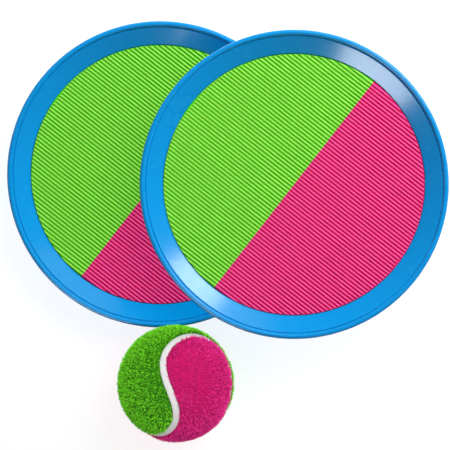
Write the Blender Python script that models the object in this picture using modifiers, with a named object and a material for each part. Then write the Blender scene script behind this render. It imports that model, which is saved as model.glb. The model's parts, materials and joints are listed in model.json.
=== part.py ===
"""Toss and catch set: two round paddles with ribbed hook faces and hand straps, and a felt ball.

The lower paddle lies on its back rim. The upper one lies on the lower one's bead, with its strap
resting there, so it tips by less than a degree. The ball lies on the floor against the lower paddle.
"""

import math

import bmesh
import bpy
from mathutils import Euler, Matrix, Vector

# General clearance and facets, in metres and steps
GAP = 0.0003
RIM_STEPS = 72

# Paddle shell, in metres; its own frame stands on the back rim, with +Z towards the hook face
PADDLE_RADIUS = 0.0890
PADDLE_HEIGHT = 0.0240
SHELL_WALL = 0.0020
PLATE_THICKNESS = 0.0024
FACE_RADIUS = 0.0756
FACE_DEPTH = 0.0090
BAND_FOOT_HEIGHT = 0.0018
BEAD_RADIUS = 0.0016
BEAD_STAND_OUT = 0.0008
BEAD_ARC_STEPS = 8
GROOVE_WIDTH = 0.0006
GROOVE_DEPTH = 0.0006
SKIRT_DRAFT = 0.0022
RIM_CHAMFER = 0.0004

# Ribbed hook sheets, in metres and degrees: the ribs run down to the right, across the colour joint
RIB_PITCH = 0.00202
RIB_HEIGHT = 0.0012
SHEET_BASE = 0.0008
RIB_ANGLE = -37.8
SHEET_EDGE_GAP = 0.0004

# Hand strap and its grip patches, in metres and degrees
STRAP_WIDTH = 0.038
STRAP_THICKNESS = 0.0013
STRAP_ANGLE = 0.0
STRAP_RIM_CLEARANCE = 0.0006
STRAP_TAIL_OVERRUN = 0.0020
STRAP_BEND_RADIUS = 0.0016
STRAP_BEND_STEPS = 4
SLOT_OFFSET = 0.046
SLOT_SIDE_ROOM = 0.00105
SLOT_END_ROOM = 0.0010
SLOT_LEAD = 0.0006
LAND_THICKNESS = 0.0016
LAND_MARGIN = 0.0030
PATCH_LENGTH = 0.044
PATCH_SIDE_MARGIN = 0.0020
PATCH_END_MARGIN = 0.0040
PATCH_THICKNESS = 0.0008
PATCH_CORNER = 0.0030

# Felt ball, in metres, degrees and steps
BALL_RADIUS = 0.0340
FELT_THICKNESS = 0.0027
SEAM_WIDTH = 0.0044
SEAM_THICKNESS = 0.0015
SEAM_POLAR_START = 0.596
SEAM_SWAY = 0.351
SEAM_STEPS = 84
SPHERE_CUTS_INNER = 3
SPHERE_CUTS_OUTER = 4
BALL_TURN = (-87.2, -51.8, 8.1)

# Arrangement on the floor, in metres and degrees
PADDLE_SPACING = 0.0774
PADDLE_DIRECTION = -4.5
BALL_DIRECTION = -85.7

# Colours, linear, and roughness
BLUE_PLASTIC = (0.0008, 0.270, 0.700, 1.0)
GREEN_HOOK = (0.130, 0.600, 0.030, 1.0)
PINK_HOOK = (0.660, 0.024, 0.150, 1.0)
GREEN_FELT = (0.100, 0.610, 0.015, 1.0)
PINK_FELT = (0.750, 0.010, 0.155, 1.0)
SEAM_WHITE = (0.800, 0.780, 0.780, 1.0)
CORE_GREY = (0.250, 0.250, 0.250, 1.0)
STRAP_BLACK = (0.012, 0.012, 0.014, 1.0)


def clear_scene():
    """Remove whatever the start-up file holds."""
    for obj in list(bpy.data.objects):
        bpy.data.objects.remove(obj, do_unlink=True)


def new_collection(name):
    """Make a collection in the scene."""
    collection = bpy.data.collections.new(name)
    bpy.context.scene.collection.children.link(collection)
    return collection


def new_material(name, color, roughness):
    """Make a plain Principled material."""
    material = bpy.data.materials.new(name)
    material.use_nodes = True
    shader = material.node_tree.nodes["Principled BSDF"]
    shader.inputs["Base Color"].default_value = color
    shader.inputs["Roughness"].default_value = roughness
    shader.inputs["Metallic"].default_value = 0.0
    material.diffuse_color = color
    return material


def add_object(name, data, collection, parent=None, material=None):
    """Put mesh or curve data into an object in a collection."""
    obj = bpy.data.objects.new(name, data)
    collection.objects.link(obj)
    obj.parent = parent
    if material is not None:
        obj.data.materials.append(material)
    return obj


def mesh_from(name, bm):
    """Turn a bmesh into mesh data."""
    mesh = bpy.data.meshes.new(name)
    bm.to_mesh(mesh)
    bm.free()
    return mesh


def box_mesh(name, size, centre):
    """A box of the given size about the given centre."""
    bm = bmesh.new()
    bmesh.ops.create_cube(bm, size=1.0)
    bmesh.ops.scale(bm, vec=size, verts=bm.verts)
    bmesh.ops.translate(bm, vec=centre, verts=bm.verts)
    return mesh_from(name, bm)


def add_cutter(name, mesh, cutters, parent, angle=0.0):
    """A helper body for a Boolean: drawn as wire and left out of renders."""
    cutter = add_object(name, mesh, cutters, parent)
    cutter.rotation_euler.z = math.radians(angle)
    cutter.hide_render = True
    cutter.display_type = "WIRE"
    return cutter


def boolean(obj, operand, operation):
    """Join, cut or intersect with another body, exactly."""
    modifier = obj.modifiers.new(f"{operation.lower()}_{operand.name}", "BOOLEAN")
    modifier.operation = operation
    modifier.object = operand
    modifier.solver = "EXACT"


def bead_centre():
    """Radius and height of the bead's centre in the shell's section."""
    return Vector((PADDLE_RADIUS - BEAD_RADIUS, PADDLE_HEIGHT - BEAD_RADIUS))


def plate_front():
    """Height of the plate's front, which the hook sheets lie on."""
    return PADDLE_HEIGHT - FACE_DEPTH


def plate_back():
    """Height of the plate's back."""
    return plate_front() - PLATE_THICKNESS


def rim_radii():
    """Outer and inner radius of the flat ring that the paddle stands on."""
    outer = PADDLE_RADIUS - BEAD_STAND_OUT - SKIRT_DRAFT
    return outer - RIM_CHAMFER, outer - SHELL_WALL + RIM_CHAMFER


def shell_section():
    """Half section of the shell from the axis over the front and down the skirt to the back."""
    bead = bead_centre()
    band_top = Vector((bead.x - BEAD_RADIUS - GROOVE_WIDTH, bead.y))
    band_foot = Vector((FACE_RADIUS, plate_front() + BAND_FOOT_HEIGHT))
    groove = Vector((band_top.x + GROOVE_WIDTH / 2, band_top.y - GROOVE_DEPTH))
    arc_start = math.radians(190)
    arc_end = -math.acos(1 - BEAD_STAND_OUT / BEAD_RADIUS)
    section = [Vector((0, plate_front())), Vector((FACE_RADIUS, plate_front())), band_foot, band_top, groove]
    for step in range(BEAD_ARC_STEPS + 1):
        angle = arc_start + (arc_end - arc_start) * step / BEAD_ARC_STEPS
        section.append(bead + BEAD_RADIUS * Vector((math.cos(angle), math.sin(angle))))
    skirt_top = section[-1]
    stand_outer, stand_inner = rim_radii()
    section.append(Vector((stand_outer + RIM_CHAMFER, RIM_CHAMFER)))
    section.append(Vector((stand_outer, 0)))
    section.append(Vector((stand_inner, 0)))
    section.append(Vector((stand_inner - RIM_CHAMFER, RIM_CHAMFER)))

    along = (band_top - band_foot).normalized()
    under_foot = band_foot + SHELL_WALL * Vector((along.y, -along.x))
    rise = along.y / along.x
    lean = (skirt_top.x - (stand_outer + RIM_CHAMFER)) / (skirt_top.y - RIM_CHAMFER)
    inner_foot = Vector((stand_inner - RIM_CHAMFER, RIM_CHAMFER))
    top_r = (inner_foot.x + lean * (under_foot.y - rise * under_foot.x - inner_foot.y)) / (1 - lean * rise)
    section.append(Vector((top_r, under_foot.y + rise * (top_r - under_foot.x))))
    section.append(Vector((under_foot.x + (plate_back() - under_foot.y) / rise, plate_back())))
    section.append(Vector((0, plate_back())))
    return section


def section_mesh(name, section):
    """A chain of edges in the XZ plane, for a Screw modifier to turn."""
    bm = bmesh.new()
    verts = [bm.verts.new((point.x, 0, point.y)) for point in section]
    for first, second in zip(verts, verts[1:]):
        bm.edges.new((first, second))
    return mesh_from(name, bm)


def turn(obj, steps):
    """Turn a section about Z into a closed body."""
    screw = obj.modifiers.new("turn", "SCREW")
    screw.axis = "Z"
    screw.steps = steps
    screw.render_steps = steps
    screw.use_merge_vertices = True
    screw.merge_threshold = 0.0001
    screw.use_smooth_shade = True


def channel_depth():
    """Depth of the strap's channel: the webbing and its clearance on both sides."""
    return STRAP_THICKNESS + 2 * GAP


def slot_size():
    """Width across and length of a strap slot."""
    return STRAP_THICKNESS + 2 * SLOT_SIDE_ROOM, STRAP_WIDTH + 2 * SLOT_END_ROOM


def make_shell(side, parts, cutters, frame, material):
    """Moulded shell: turned section, with a strap channel across the front and two slots."""
    section = section_mesh("shell_section", shell_section())
    shell = add_object(f"{side}_paddle_shell", section, parts, frame, material)
    turn(shell, RIM_STEPS)
    slot_width, slot_length = slot_size()
    reach = SLOT_OFFSET + slot_width / 2

    land_top = plate_back() + PLATE_THICKNESS / 2
    land_bottom = plate_back() - LAND_THICKNESS
    land_span = (2 * (reach + LAND_MARGIN), slot_length + 2 * LAND_MARGIN, land_top - land_bottom)
    land_mesh = box_mesh("land", land_span, (0, 0, (land_top + land_bottom) / 2))
    land = add_cutter(f"{side}_strap_land", land_mesh, cutters, frame, STRAP_ANGLE)
    boolean(shell, land, "UNION")

    channel_mesh = box_mesh("channel", (2 * reach, slot_length, 2 * channel_depth()), (0, 0, plate_front()))
    channel = add_cutter(f"{side}_strap_channel", channel_mesh, cutters, frame, STRAP_ANGLE)
    boolean(shell, channel, "DIFFERENCE")

    turn_matrix = Matrix.Rotation(math.radians(STRAP_ANGLE), 3, "Z")
    for end, sign in (("near", -1), ("far", 1)):
        slot_mesh = box_mesh("slot", (slot_width, slot_length, PADDLE_HEIGHT), (0, 0, plate_front()))
        slot = add_cutter(f"{side}_{end}_slot", slot_mesh, cutters, frame, STRAP_ANGLE)
        slot.location = turn_matrix @ Vector((sign * SLOT_OFFSET, 0, 0))
        boolean(shell, slot, "DIFFERENCE")
    return shell


def rib_sheet_mesh(name, direction):
    """Half of a ribbed square sheet: the ribs run along X, away from the colour joint at X = 0."""
    ribs = math.ceil(FACE_RADIUS / RIB_PITCH)
    bottom = plate_front() + GAP
    valley = bottom + SHEET_BASE
    outline = [(-ribs * RIB_PITCH, bottom), (-ribs * RIB_PITCH, valley)]
    for rib in range(-ribs, ribs):
        outline.append(((rib + 0.5) * RIB_PITCH, valley + RIB_HEIGHT))
        outline.append(((rib + 1) * RIB_PITCH, valley))
    outline.append((ribs * RIB_PITCH, bottom))
    joint = direction * GAP / 2
    bm = bmesh.new()
    face = bm.faces.new([bm.verts.new((joint, y, z)) for y, z in outline])
    swept = bmesh.ops.extrude_face_region(bm, geom=[face])
    far_verts = [item for item in swept["geom"] if isinstance(item, bmesh.types.BMVert)]
    bmesh.ops.translate(bm, vec=(direction * PADDLE_RADIUS, 0, 0), verts=far_verts)
    bmesh.ops.recalc_face_normals(bm, faces=bm.faces)
    return mesh_from(name, bm)


def make_hook_sheets(side, parts, cutters, frame, green, pink):
    """Two half discs of ribbed hook sheet that meet along a diameter."""
    bm = bmesh.new()
    bmesh.ops.create_cone(
        bm, cap_ends=True, segments=RIM_STEPS, radius1=FACE_RADIUS - SHEET_EDGE_GAP,
        radius2=FACE_RADIUS - SHEET_EDGE_GAP, depth=PADDLE_HEIGHT)
    bmesh.ops.translate(bm, vec=(0, 0, plate_front()), verts=bm.verts)
    disc = add_cutter(f"{side}_sheet_outline", mesh_from("sheet_outline", bm), cutters, frame)
    for color, direction, material in (("green", -1, green), ("pink", 1, pink)):
        sheet = add_object(
            f"{side}_{color}_hook_sheet", rib_sheet_mesh("ribbed_sheet", direction), parts, frame, material)
        sheet.rotation_euler.z = math.radians(RIB_ANGLE)
        boolean(sheet, disc, "INTERSECT")


def patch_heights():
    """Heights of the outer tail, the two patches and the inner tail: the middle of each layer."""
    outer_tail = STRAP_RIM_CLEARANCE + STRAP_THICKNESS / 2
    hook_patch = outer_tail + STRAP_THICKNESS / 2 + GAP + PATCH_THICKNESS / 2
    loop_patch = hook_patch + PATCH_THICKNESS + GAP
    inner_tail = loop_patch + PATCH_THICKNESS / 2 + GAP + STRAP_THICKNESS / 2
    return outer_tail, hook_patch, loop_patch, inner_tail


def strap_route():
    """Corners of the webbing's middle line, along the strap and up, from one tail to the other."""
    outer_tail, _, _, inner_tail = patch_heights()
    slot_foot = plate_back() - LAND_THICKNESS - SLOT_LEAD
    channel_mid = plate_front() - channel_depth() / 2
    flat_half = PATCH_LENGTH / 2 + PATCH_END_MARGIN
    tail_half = flat_half + STRAP_TAIL_OVERRUN
    return [
        Vector((-tail_half, inner_tail)),
        Vector((flat_half, inner_tail)),
        Vector((SLOT_OFFSET, slot_foot)),
        Vector((SLOT_OFFSET, channel_mid)),
        Vector((-SLOT_OFFSET, channel_mid)),
        Vector((-SLOT_OFFSET, slot_foot)),
        Vector((-flat_half, outer_tail)),
        Vector((tail_half, outer_tail)),
    ]


def rounded(corners, radius, steps):
    """Replace each inner corner of a chain by an arc."""
    points = [corners[0]]
    for before, corner, after in zip(corners, corners[1:], corners[2:]):
        back = (before - corner).normalized()
        ahead = (after - corner).normalized()
        half = back.angle(ahead) / 2
        centre = corner + (back + ahead).normalized() * radius / math.sin(half)
        first = corner + back * radius / math.tan(half)
        last = corner + ahead * radius / math.tan(half)
        sweep = (last - centre).angle_signed(first - centre)
        for step in range(steps + 1):
            points.append(centre + Matrix.Rotation(sweep * step / steps, 2) @ (first - centre))
    points.append(corners[-1])
    return points


def make_strap(side, parts, frame, material):
    """One band of webbing: through both slots, across the channel, its tails lapped behind the plate."""
    curve = bpy.data.curves.new(f"{side}_strap_route", "CURVE")
    curve.dimensions = "2D"
    route = rounded(strap_route(), STRAP_BEND_RADIUS, STRAP_BEND_STEPS)
    spline = curve.splines.new("POLY")
    spline.points.add(len(route) - 1)
    for point, place in zip(spline.points, route):
        point.co = (place.x, place.y, 0, 1)
    curve.extrude = STRAP_WIDTH / 2
    strap = add_object(f"{side}_hand_strap", curve, parts, frame, material)
    strap.rotation_euler = Euler((math.radians(90), 0, math.radians(STRAP_ANGLE)))
    thicken = strap.modifiers.new("webbing", "SOLIDIFY")
    thicken.thickness = STRAP_THICKNESS
    thicken.offset = 0
    thicken.use_even_offset = True


def patch_mesh(name, height):
    """A thin patch with rounded corners, lying flat at a height."""
    bm = bmesh.new()
    bmesh.ops.create_cube(bm, size=1.0)
    patch_width = STRAP_WIDTH - 2 * PATCH_SIDE_MARGIN
    bmesh.ops.scale(bm, vec=(PATCH_LENGTH, patch_width, PATCH_THICKNESS), verts=bm.verts)
    rise = PATCH_THICKNESS / 2
    uprights = [edge for edge in bm.edges if abs(edge.verts[0].co.z - edge.verts[1].co.z) > rise]
    bmesh.ops.bevel(bm, geom=uprights, offset=PATCH_CORNER, segments=4, profile=0.5, affect="EDGES")
    bmesh.ops.translate(bm, vec=(0, 0, height), verts=bm.verts)
    return mesh_from(name, bm)


def make_patches(side, parts, frame, material):
    """Hook patch on the outer tail and loop patch under the inner tail."""
    _, hook_height, loop_height, _ = patch_heights()
    for kind, height in (("hook", hook_height), ("loop", loop_height)):
        mesh = patch_mesh(f"{kind}_patch", height)
        patch = add_object(f"{side}_strap_{kind}_patch", mesh, parts, frame, material)
        patch.rotation_euler.z = math.radians(STRAP_ANGLE)


def lower_frame(origin):
    """Frame of the paddle that lies on the floor."""
    frame = bpy.data.objects.new("lower_paddle", None)
    bpy.context.scene.collection.objects.link(frame)
    frame.parent = origin
    return frame


def upper_frame(origin):
    """Frame of the paddle that lies on the lower one: on its bead at two places, and on its strap."""
    frame = bpy.data.objects.new("upper_paddle", None)
    bpy.context.scene.collection.objects.link(frame)
    frame.parent = origin
    crest = bead_centre().x
    _, ring_inner = rim_radii()
    crossing = (PADDLE_SPACING ** 2 + crest ** 2 - ring_inner ** 2) / (2 * PADDLE_SPACING)
    tip = math.asin(STRAP_RIM_CLEARANCE / (crest - crossing))
    along = Vector((math.cos(math.radians(PADDLE_DIRECTION)), math.sin(math.radians(PADDLE_DIRECTION)), 0))
    across = Vector((-along.y, along.x, 0))
    lift = PADDLE_HEIGHT + GAP - (PADDLE_SPACING - crossing) * math.sin(tip)
    place = Matrix.Translation(PADDLE_SPACING * along + Vector((0, 0, lift)))
    frame.matrix_local = place @ Matrix.Rotation(tip, 4, across)
    return frame


def seam_direction(turn_at):
    """Unit vector to the ball's seam line, a closed wave twice round the ball over two turns."""
    polar = math.pi / 2 - (math.pi / 2 - SEAM_POLAR_START) * math.cos(turn_at)
    azimuth = turn_at / 2 + SEAM_SWAY * math.sin(2 * turn_at)
    return Vector((math.sin(polar) * math.cos(azimuth), math.sin(polar) * math.sin(azimuth), math.cos(polar)))


def seam_loft(name, half_width, inner, outer):
    """A closed band along the seam line, with radial sides and the given inner and outer radius."""
    bm = bmesh.new()
    rings = []
    for step in range(SEAM_STEPS):
        turn_at = 4 * math.pi * step / SEAM_STEPS
        middle = seam_direction(turn_at)
        ahead = seam_direction(turn_at + 0.001) - seam_direction(turn_at - 0.001)
        sideways = middle.cross(ahead).normalized()
        ring = []
        for radius, order in ((inner, 1), (outer, -1)):
            for column in (-1, 0, 1):
                angle = order * column * half_width / BALL_RADIUS
                ring.append(bm.verts.new(radius * (middle * math.cos(angle) + sideways * math.sin(angle))))
        rings.append(ring)
    for ring, following in zip(rings, rings[1:] + rings[:1]):
        for index in range(len(ring)):
            near = (index + 1) % len(ring)
            bm.faces.new((ring[index], ring[near], following[near], following[index]))
    bmesh.ops.recalc_face_normals(bm, faces=bm.faces)
    return mesh_from(name, bm)


def ball_mesh(name, radius, cuts):
    """A round body of even triangles."""
    bm = bmesh.new()
    bmesh.ops.create_icosphere(bm, subdivisions=cuts, radius=radius)
    return mesh_from(name, bm)


def core_radius():
    """Radius of the core under the felt."""
    return BALL_RADIUS - FELT_THICKNESS - GAP


def make_ball(parts, cutters, frame, materials):
    """Core, seam band and two felt panels of the same wavy outline."""
    core = core_radius()
    skin = core + GAP
    add_object("ball_core", ball_mesh("core", core, SPHERE_CUTS_INNER), parts, frame, materials["core"])
    seam = seam_loft("seam", SEAM_WIDTH / 2, skin, skin + SEAM_THICKNESS)
    add_object("ball_seam", seam, parts, frame, materials["seam"])

    hollow = add_cutter("ball_hollow", ball_mesh("hollow", skin, SPHERE_CUTS_INNER), cutters, frame)
    room = seam_loft("seam_room", SEAM_WIDTH / 2 + GAP, core - FELT_THICKNESS, BALL_RADIUS + FELT_THICKNESS)
    parting = add_cutter("ball_parting", room, cutters, frame)
    felt = add_object("ball_felt", ball_mesh("felt", BALL_RADIUS, SPHERE_CUTS_OUTER), parts, frame)
    boolean(felt, hollow, "DIFFERENCE")
    boolean(felt, parting, "DIFFERENCE")
    bpy.context.view_layer.update()
    cut = bpy.data.meshes.new_from_object(felt.evaluated_get(bpy.context.evaluated_depsgraph_get()))
    bpy.data.objects.remove(felt)

    placed = frame.matrix_world
    for name, side, material in (("ball_green_felt", -1, materials["green_felt"]),
                                 ("ball_pink_felt", 1, materials["pink_felt"])):
        panel = bmesh.new()
        panel.from_mesh(cut)
        bmesh.ops.delete(panel, geom=other_panel(panel, placed, side), context="VERTS")
        mesh = mesh_from(name, panel)
        add_object(name, mesh, parts, frame, material)


def other_panel(bm, placed, side):
    """The points of every piece of this mesh but the one that lies furthest to one side in X."""
    waiting = set(bm.verts)
    pieces = []
    while waiting:
        piece = set()
        front = [waiting.pop()]
        while front:
            vert = front.pop()
            piece.add(vert)
            for edge in vert.link_edges:
                neighbour = edge.other_vert(vert)
                if neighbour in waiting:
                    waiting.remove(neighbour)
                    front.append(neighbour)
        pieces.append(piece)
    pieces.sort(key=lambda piece: side * sum((placed @ vert.co).x for vert in piece) / len(piece))
    return [vert for piece in pieces[:-1] for vert in piece]


def ball_frame(origin):
    """Frame of the ball: on the floor, against the lower paddle's bead."""
    frame = bpy.data.objects.new("ball", None)
    bpy.context.scene.collection.objects.link(frame)
    frame.parent = origin
    bead = bead_centre()
    reach = bead.x + math.sqrt((BALL_RADIUS + BEAD_RADIUS + GAP) ** 2 - (BALL_RADIUS - bead.y) ** 2)
    angle = math.radians(BALL_DIRECTION)
    frame.location = (reach * math.cos(angle), reach * math.sin(angle), BALL_RADIUS)
    frame.rotation_euler = Euler([math.radians(value) for value in BALL_TURN])
    return frame


def centre_on_floor(origin, parts):
    """Move everything so that the middle of its box is over the origin and its base is at height 0."""
    bpy.context.view_layer.update()
    graph = bpy.context.evaluated_depsgraph_get()
    points = []
    for obj in parts.objects:
        shown = obj.evaluated_get(graph)
        mesh = shown.to_mesh()
        points += [obj.matrix_world @ vert.co for vert in mesh.vertices]
        shown.to_mesh_clear()
    low = [min(point[axis] for point in points) for axis in range(3)]
    high = [max(point[axis] for point in points) for axis in range(3)]
    origin.location -= Vector(((low[0] + high[0]) / 2, (low[1] + high[1]) / 2, low[2]))


def main():
    """Build the set."""
    clear_scene()
    parts = new_collection("toss_and_catch_set")
    cutters = new_collection("cutters")
    blue = new_material("blue_plastic", BLUE_PLASTIC, 0.25)
    green = new_material("green_hook", GREEN_HOOK, 0.5)
    pink = new_material("pink_hook", PINK_HOOK, 0.5)
    strap = new_material("strap_webbing", STRAP_BLACK, 0.85)
    patch = new_material("grip_patch", STRAP_BLACK, 0.9)
    ball_materials = {
        "core": new_material("core_rubber", CORE_GREY, 0.7),
        "seam": new_material("seam_rubber", SEAM_WHITE, 0.55),
        "green_felt": new_material("green_felt", GREEN_FELT, 0.95),
        "pink_felt": new_material("pink_felt", PINK_FELT, 0.95),
    }
    origin = bpy.data.objects.new("set_origin", None)
    bpy.context.scene.collection.objects.link(origin)
    frames = {"lower": lower_frame(origin), "upper": upper_frame(origin)}
    for side, frame in frames.items():
        make_shell(side, parts, cutters, frame, blue)
        make_hook_sheets(side, parts, cutters, frame, green, pink)
        make_strap(side, parts, frame, strap)
        make_patches(side, parts, frame, patch)
    ball = ball_frame(origin)
    bpy.context.view_layer.update()
    make_ball(parts, cutters, ball, ball_materials)
    centre_on_floor(origin, parts)


main()
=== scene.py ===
"""Toss and catch set: the finished looks of two hook-faced paddles and a felt ball.

Laid out as an add-on: sizes and colours are properties, each group of pieces has an operator, and the
panel in the sidebar lists them. All sizes are in metres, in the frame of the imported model.
"""

import json
import math

import bpy
import numpy as np
from bpy.props import FloatProperty, FloatVectorProperty, IntProperty, PointerProperty
from mathutils import Matrix, Vector

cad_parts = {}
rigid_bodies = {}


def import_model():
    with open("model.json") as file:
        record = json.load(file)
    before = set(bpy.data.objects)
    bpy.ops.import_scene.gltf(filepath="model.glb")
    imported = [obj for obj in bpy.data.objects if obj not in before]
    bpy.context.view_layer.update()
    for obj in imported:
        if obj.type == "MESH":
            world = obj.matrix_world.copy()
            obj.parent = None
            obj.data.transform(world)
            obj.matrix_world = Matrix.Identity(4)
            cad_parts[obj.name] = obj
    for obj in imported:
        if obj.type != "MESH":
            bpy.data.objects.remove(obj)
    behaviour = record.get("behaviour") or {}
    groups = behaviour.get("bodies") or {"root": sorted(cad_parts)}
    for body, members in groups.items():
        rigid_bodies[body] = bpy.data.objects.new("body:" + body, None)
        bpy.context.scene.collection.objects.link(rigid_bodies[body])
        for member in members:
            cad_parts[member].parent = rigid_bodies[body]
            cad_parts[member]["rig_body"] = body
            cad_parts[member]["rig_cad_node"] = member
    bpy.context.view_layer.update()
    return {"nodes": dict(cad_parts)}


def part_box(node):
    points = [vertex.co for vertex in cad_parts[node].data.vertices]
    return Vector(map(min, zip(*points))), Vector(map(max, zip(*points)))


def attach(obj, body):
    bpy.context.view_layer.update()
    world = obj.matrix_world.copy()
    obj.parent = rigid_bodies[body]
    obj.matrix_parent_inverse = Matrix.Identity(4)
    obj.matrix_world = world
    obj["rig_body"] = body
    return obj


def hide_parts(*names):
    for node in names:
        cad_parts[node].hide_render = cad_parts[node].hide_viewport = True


bl_info = {
    "name": "Toss and Catch Set",
    "version": (1, 0, 0),
    "blender": (4, 5, 0),
    "location": "3D View > Sidebar > Catch Set",
    "description": "Models and paints two hook-faced paddles with hand straps, and a felt ball",
    "category": "Object",
}

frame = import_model()
SIDES = ("lower", "upper")


def cad(node):
    """The frame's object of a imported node."""
    return frame["nodes"][node]


def paddle_turn(side):
    """Turn of a paddle, read from its flat strap patch, which is square to the paddle's axis."""
    axis = Vector()
    for polygon in cad(f"{side}_strap_hook_patch").data.polygons:
        if polygon.normal.z > 0.9:
            axis += polygon.normal * polygon.area
    return Vector((0, 0, 1)).rotation_difference(axis.normalized()).to_matrix()


def extent(points):
    """Lowest and highest corner of a set of points."""
    low = Vector([min(point[axis] for point in points) for axis in range(3)])
    high = Vector([max(point[axis] for point in points) for axis in range(3)])
    return low, high


def paddle_extent(side):
    """Lowest and highest corner of a paddle's shell in its own turned axes."""
    back = paddle_turn(side).transposed()
    return extent([back @ vert.co for vert in cad(f"{side}_paddle_shell").data.vertices])


def paddle_place(side):
    """Matrix from a paddle's own frame, which stands on the back rim's centre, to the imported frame."""
    low, high = paddle_extent(side)
    turn = paddle_turn(side)
    foot = Vector(((low.x + high.x) / 2, (low.y + high.y) / 2, low.z))
    return Matrix.Translation(turn @ foot) @ turn.to_4x4()


LOW, HIGH = paddle_extent("lower")
PACKED_RADIUS = (HIGH.x - LOW.x) / 2
PACKED_HEIGHT = HIGH.z - LOW.z
BALL_LOW, BALL_HIGH = extent([*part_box("ball_green_felt"), *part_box("ball_pink_felt")])
BALL_CENTRE = (BALL_LOW + BALL_HIGH) / 2
BALL_RADIUS = (BALL_HIGH.z - BALL_LOW.z) / 2


def length(name, description, default):
    """A length property in metres."""
    return FloatProperty(name=name, description=description, default=default, unit="LENGTH", precision=5)


def colour(name, description, default):
    """A linear colour property."""
    return FloatVectorProperty(name=name, description=description, default=default, size=3, subtype="COLOR")


def power(name, description, default):
    """A lamp's power in watts."""
    return FloatProperty(name=name, description=description, default=default, unit="POWER")


class CATCHSET_PG_shell(bpy.types.PropertyGroup):
    """Sizes and colours of the moulded shells."""

    radius: length("Radius", "Outer radius of the bead", PACKED_RADIUS)
    height: length("Height", "Back rim to the top of the bead", PACKED_HEIGHT)
    wall: length("Wall", "Thickness of the skirt and the band", 0.0020)
    plate: length("Plate", "Thickness of the plate behind the hook sheets", 0.0024)
    face_radius: length("Face Radius", "Inner edge of the dished band", 0.0756)
    face_depth: length("Face Depth", "Top of the bead down to the plate", 0.0090)
    band_foot: length("Band Foot", "Height of the band's lower edge above the plate", 0.0018)
    bead: length("Bead Radius", "Radius of the rounded bead's section", 0.0016)
    bead_stand_out: length("Bead Stand-out", "How far the bead stands out past the skirt", 0.0008)
    groove: length("Groove", "Width of the groove inside the bead", 0.0006)
    groove_depth: length("Groove Depth", "Depth of the groove inside the bead", 0.00025)
    draft: length("Skirt Draft", "How far the skirt's foot lies inside its top", 0.0022)
    rim_chamfer: length("Rim Chamfer", "Chamfer on the back rim", 0.0004)
    slot_side_room: length("Slot Side Room", "Gap in a slot on each flat side of the strap", 0.00105)
    slot_end_room: length("Slot End Room", "Gap in a slot at each edge of the strap", 0.0010)
    channel_room: length("Channel Room", "Depth of the channel in the plate past the strap", 0.0006)
    land: length("Land", "How far the land round the slots stands behind the plate", 0.0016)
    land_margin: length("Land Margin", "Width of the land round the slots", 0.0030)
    land_corner: length("Land Corner", "Corner radius of the land", 0.0040)
    steps: IntProperty(name="Steps", description="Steps round the shell", default=216, min=24)
    blue: colour("Blue", "Colour of the plastic", (0.0, 0.261, 0.642))
    deep_blue: colour("Deep Blue", "Second tone in the plastic's faint cloudiness", (0.0, 0.250, 0.615))


class CATCHSET_PG_hook(bpy.types.PropertyGroup):
    """Sizes and colours of the ribbed hook sheets."""

    pitch: length("Rib Pitch", "Distance from rib to rib", 0.00202)
    tooth_spacing: length("Tooth Spacing", "Distance from hook to hook along a rib", 0.00092)
    tooth_length: length("Tooth Length", "Length of a hook's foot along its rib", 0.00070)
    tooth_width: length("Tooth Width", "Width of a hook's foot across its rib", 0.00122)
    tooth_height: length("Tooth Height", "Height of a hook above the sheet", 0.0012)
    base: length("Sheet", "Thickness of the sheet under the hooks", 0.0008)
    lift: length("Lift", "Height of the sheet's underside above the plate", 0.0003)
    edge_gap: length("Edge Gap", "Gap between the sheets and the band", 0.0003)
    row_inset: length("Row Inset", "Distance of the last hooks from the sheet's edge", 0.0002)
    joint_gap: length("Joint Gap", "Gap between the two colours", 0.0001)
    angle: FloatProperty(
        name="Rib Angle", description="Direction of the ribs", default=math.radians(-37.8), subtype="ANGLE")
    green_ridge: colour("Green Ridge", "Green on the tips of the hooks", (0.460, 1.000, 0.125))
    # Painted shade: the green valley colour is darker than the ridge colour, standing in for the shade
    # between the ribs
    green_valley_shade: colour("Green Valley", "Green between the ribs", (0.070, 0.700, 0.001))
    pink_ridge: colour("Pink Ridge", "Pink on the tips of the hooks", (1.000, 0.115, 0.455))
    # Painted shade: the pink valley colour is darker than the ridge colour, standing in for the shade between
    # the ribs
    pink_valley_shade: colour("Pink Valley", "Pink between the ribs", (0.880, 0.001, 0.145))


class CATCHSET_PG_strap(bpy.types.PropertyGroup):
    """Sizes and colours of the hand straps."""

    thickness: length("Thickness", "Thickness of the webbing", 0.0013)
    thread: length("Weave", "Width of a yarn in the webbing", 0.0011)
    edge: length("Edge Rounding", "Rounding of the webbing's edges", 0.0003)
    patch_edge: length("Patch Rounding", "Rounding of the patches' edges", 0.0002)
    stitch_pitch: length("Stitch Pitch", "Distance from stitch to stitch", 0.0030)
    stitch_inset: length("Stitch Inset", "Distance of the stitching from the patch's edge", 0.0020)
    stitch_thickness: length("Stitch Thickness", "Thickness of the sewing thread", 0.0004)
    black: colour("Webbing", "Colour of the webbing", (0.012, 0.012, 0.014))
    thread_grey: colour("Thread", "Colour of the sewing thread", (0.035, 0.035, 0.040))


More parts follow.
